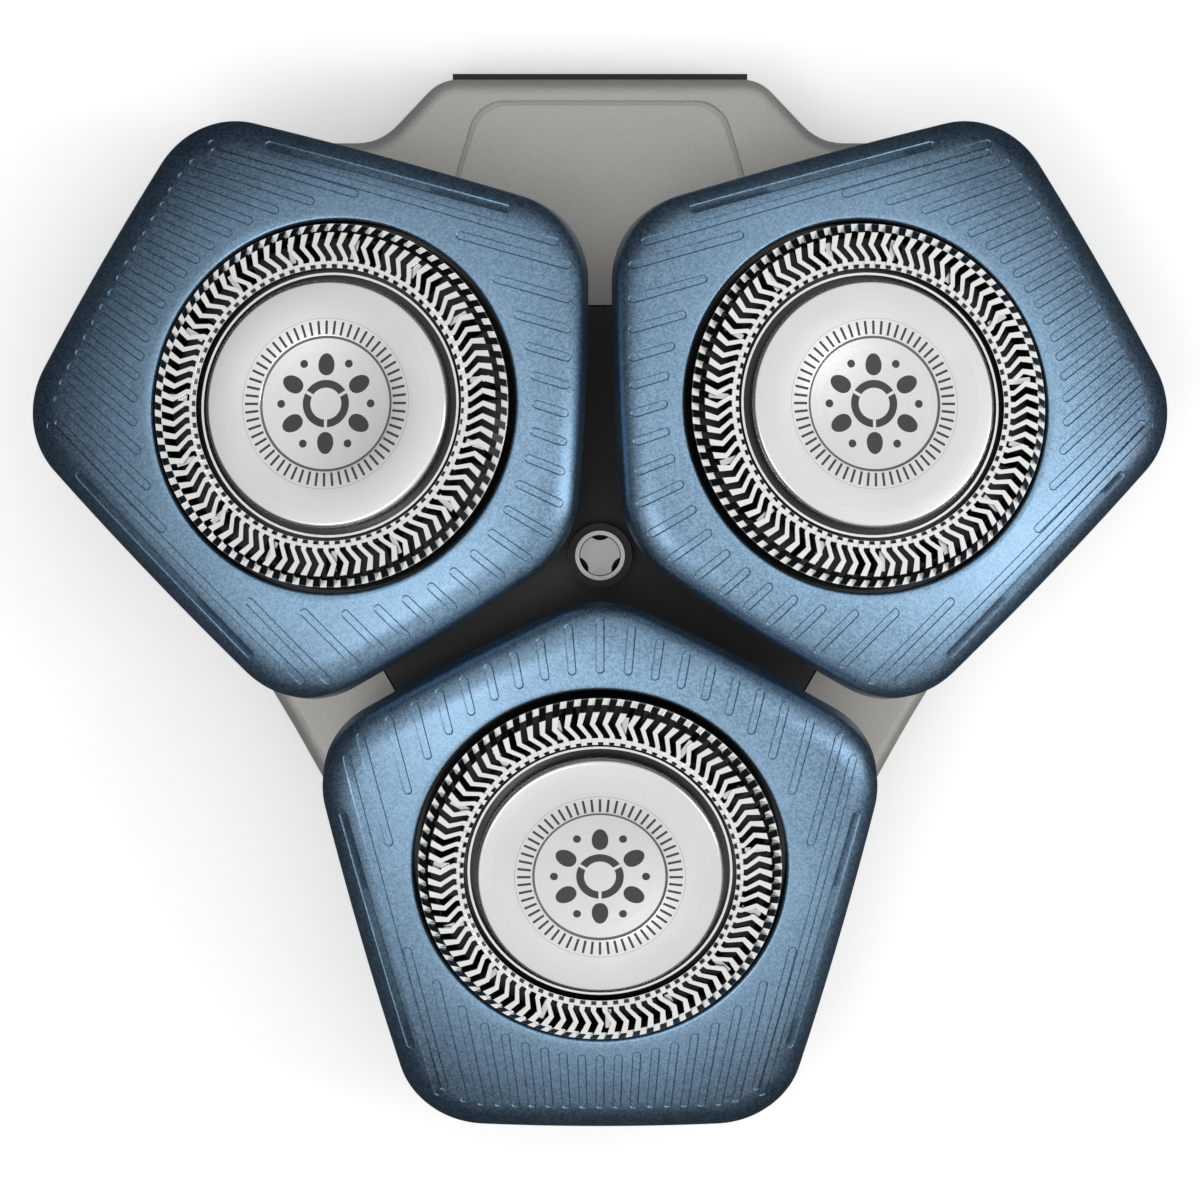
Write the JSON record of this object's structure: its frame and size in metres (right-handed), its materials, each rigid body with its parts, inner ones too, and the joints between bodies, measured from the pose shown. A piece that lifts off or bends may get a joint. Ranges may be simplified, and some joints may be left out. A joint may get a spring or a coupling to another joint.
{
  "type": "rotary shaver head",
  "caption": "Click-on rotary shaving unit: tilting heads with slotted steel guards over spinning cutters, set in a grey frame round a central locking pin.",
  "frame": {"origin": "the unit's axis in the rear plane that it stands on", "axes": "+Z out of the shaving side, +Y to the lobe with the hinge, +X to the right seen from the front"},
  "size_m": [0.0686, 0.0639, 0.0209],
  "materials": {
    "cap_blue": "satin metallic blue coating with a fine sparkle",
    "frame_grey": "satin champagne-grey coating with a fine grain",
    "moulding_black": "fine matte moulded black",
    "guard_steel": "bright ground stainless steel",
    "disc_steel": "polished stainless steel with dark grey print",
    "cutter_steel": "ground stainless steel",
    "driver_grey": "moulded dark grey acetal",
    "pin_steel": "drawn stainless steel wire",
    "spindle_steel": "turned stainless steel",
    "screw_steel": "zinc plated steel",
    "seal_rubber": "matte black nitrile rubber",
    "knob_grey": "moulded mid grey"
  },
  "bodies": {
    "root": {"front_frame": "frame_grey", "centre_bridge": "moulding_black", "chassis": "moulding_black", "seal_ring": "seal_rubber", "hinge_axle": "pin_steel", "cover_screws": "screw_steel", "pin_ring": "spindle_steel"},
    "lock": {"lock_spindle": "spindle_steel", "lock_knob": "knob_grey"},
    "head_right": {"right_cap": "cap_blue", "right_carrier": "moulding_black", "right_pivot_pins": "pin_steel", "right_retainer": "driver_grey"},
    "guard_right": {"right_guard": "guard_steel", "right_disc": "disc_steel"},
    "cutter_right": {"right_cutter": "cutter_steel", "right_driver": "driver_grey"},
    "head_left": {"left_cap": "cap_blue", "left_carrier": "moulding_black", "left_pivot_pins": "pin_steel", "left_retainer": "driver_grey"},
    "guard_left": {"left_guard": "guard_steel", "left_disc": "disc_steel"},
    "cutter_left": {"left_cutter": "cutter_steel", "left_driver": "driver_grey"},
    "head_lower": {"lower_cap": "cap_blue", "lower_carrier": "moulding_black", "lower_pivot_pins": "pin_steel", "lower_retainer": "driver_grey"},
    "guard_lower": {"lower_guard": "guard_steel", "lower_disc": "disc_steel"},
    "cutter_lower": {"lower_cutter": "cutter_steel", "lower_driver": "driver_grey"}
  },
  "joints": [
    {"name": "right_tilt", "type": "hinge", "parent": "root", "child": "head_right", "pos_m": [0.01423, 0.00822, 0.00966], "axis": [-0.5, 0.866, 0], "range_deg": [-6, 10]},
    {"name": "right_float", "type": "slide", "parent": "head_right", "child": "guard_right", "axis": [0.2241, 0.1294, 0.9659], "range_m": [-0.0008, 0]},
    {"name": "right_spin", "type": "hinge", "parent": "guard_right", "child": "cutter_right", "pos_m": [0.01593, 0.0092, 0.017], "axis": [0.2241, 0.1294, 0.9659], "continuous": true},
    {"name": "left_tilt", "type": "hinge", "parent": "root", "child": "head_left", "pos_m": [-0.01423, 0.00822, 0.00966], "axis": [-0.5, -0.866, 0], "range_deg": [-6, 10]},
    {"name": "left_float", "type": "slide", "parent": "head_left", "child": "guard_left", "axis": [-0.2241, 0.1294, 0.9659], "range_m": [-0.0008, 0]},
    {"name": "left_spin", "type": "hinge", "parent": "guard_left", "child": "cutter_left", "pos_m": [-0.01593, 0.0092, 0.017], "axis": [-0.2241, 0.1294, 0.9659], "continuous": true},
    {"name": "lower_tilt", "type": "hinge", "parent": "root", "child": "head_lower", "pos_m": [0, -0.01643, 0.00966], "axis": [1, 0, 0], "range_deg": [-6, 10]},
    {"name": "lower_float", "type": "slide", "parent": "head_lower", "child": "guard_lower", "axis": [0, -0.2588, 0.9659], "range_m": [-0.0008, 0]},
    {"name": "lower_spin", "type": "hinge", "parent": "guard_lower", "child": "cutter_lower", "pos_m": [0, -0.0184, 0.017], "axis": [0, -0.2588, 0.9659], "continuous": true},
    {"name": "lock_turn", "type": "hinge", "parent": "root", "child": "lock", "pos_m": [0, 0, 0], "axis": [0, 0, 1], "range_deg": [0, 90]}
  ]
}
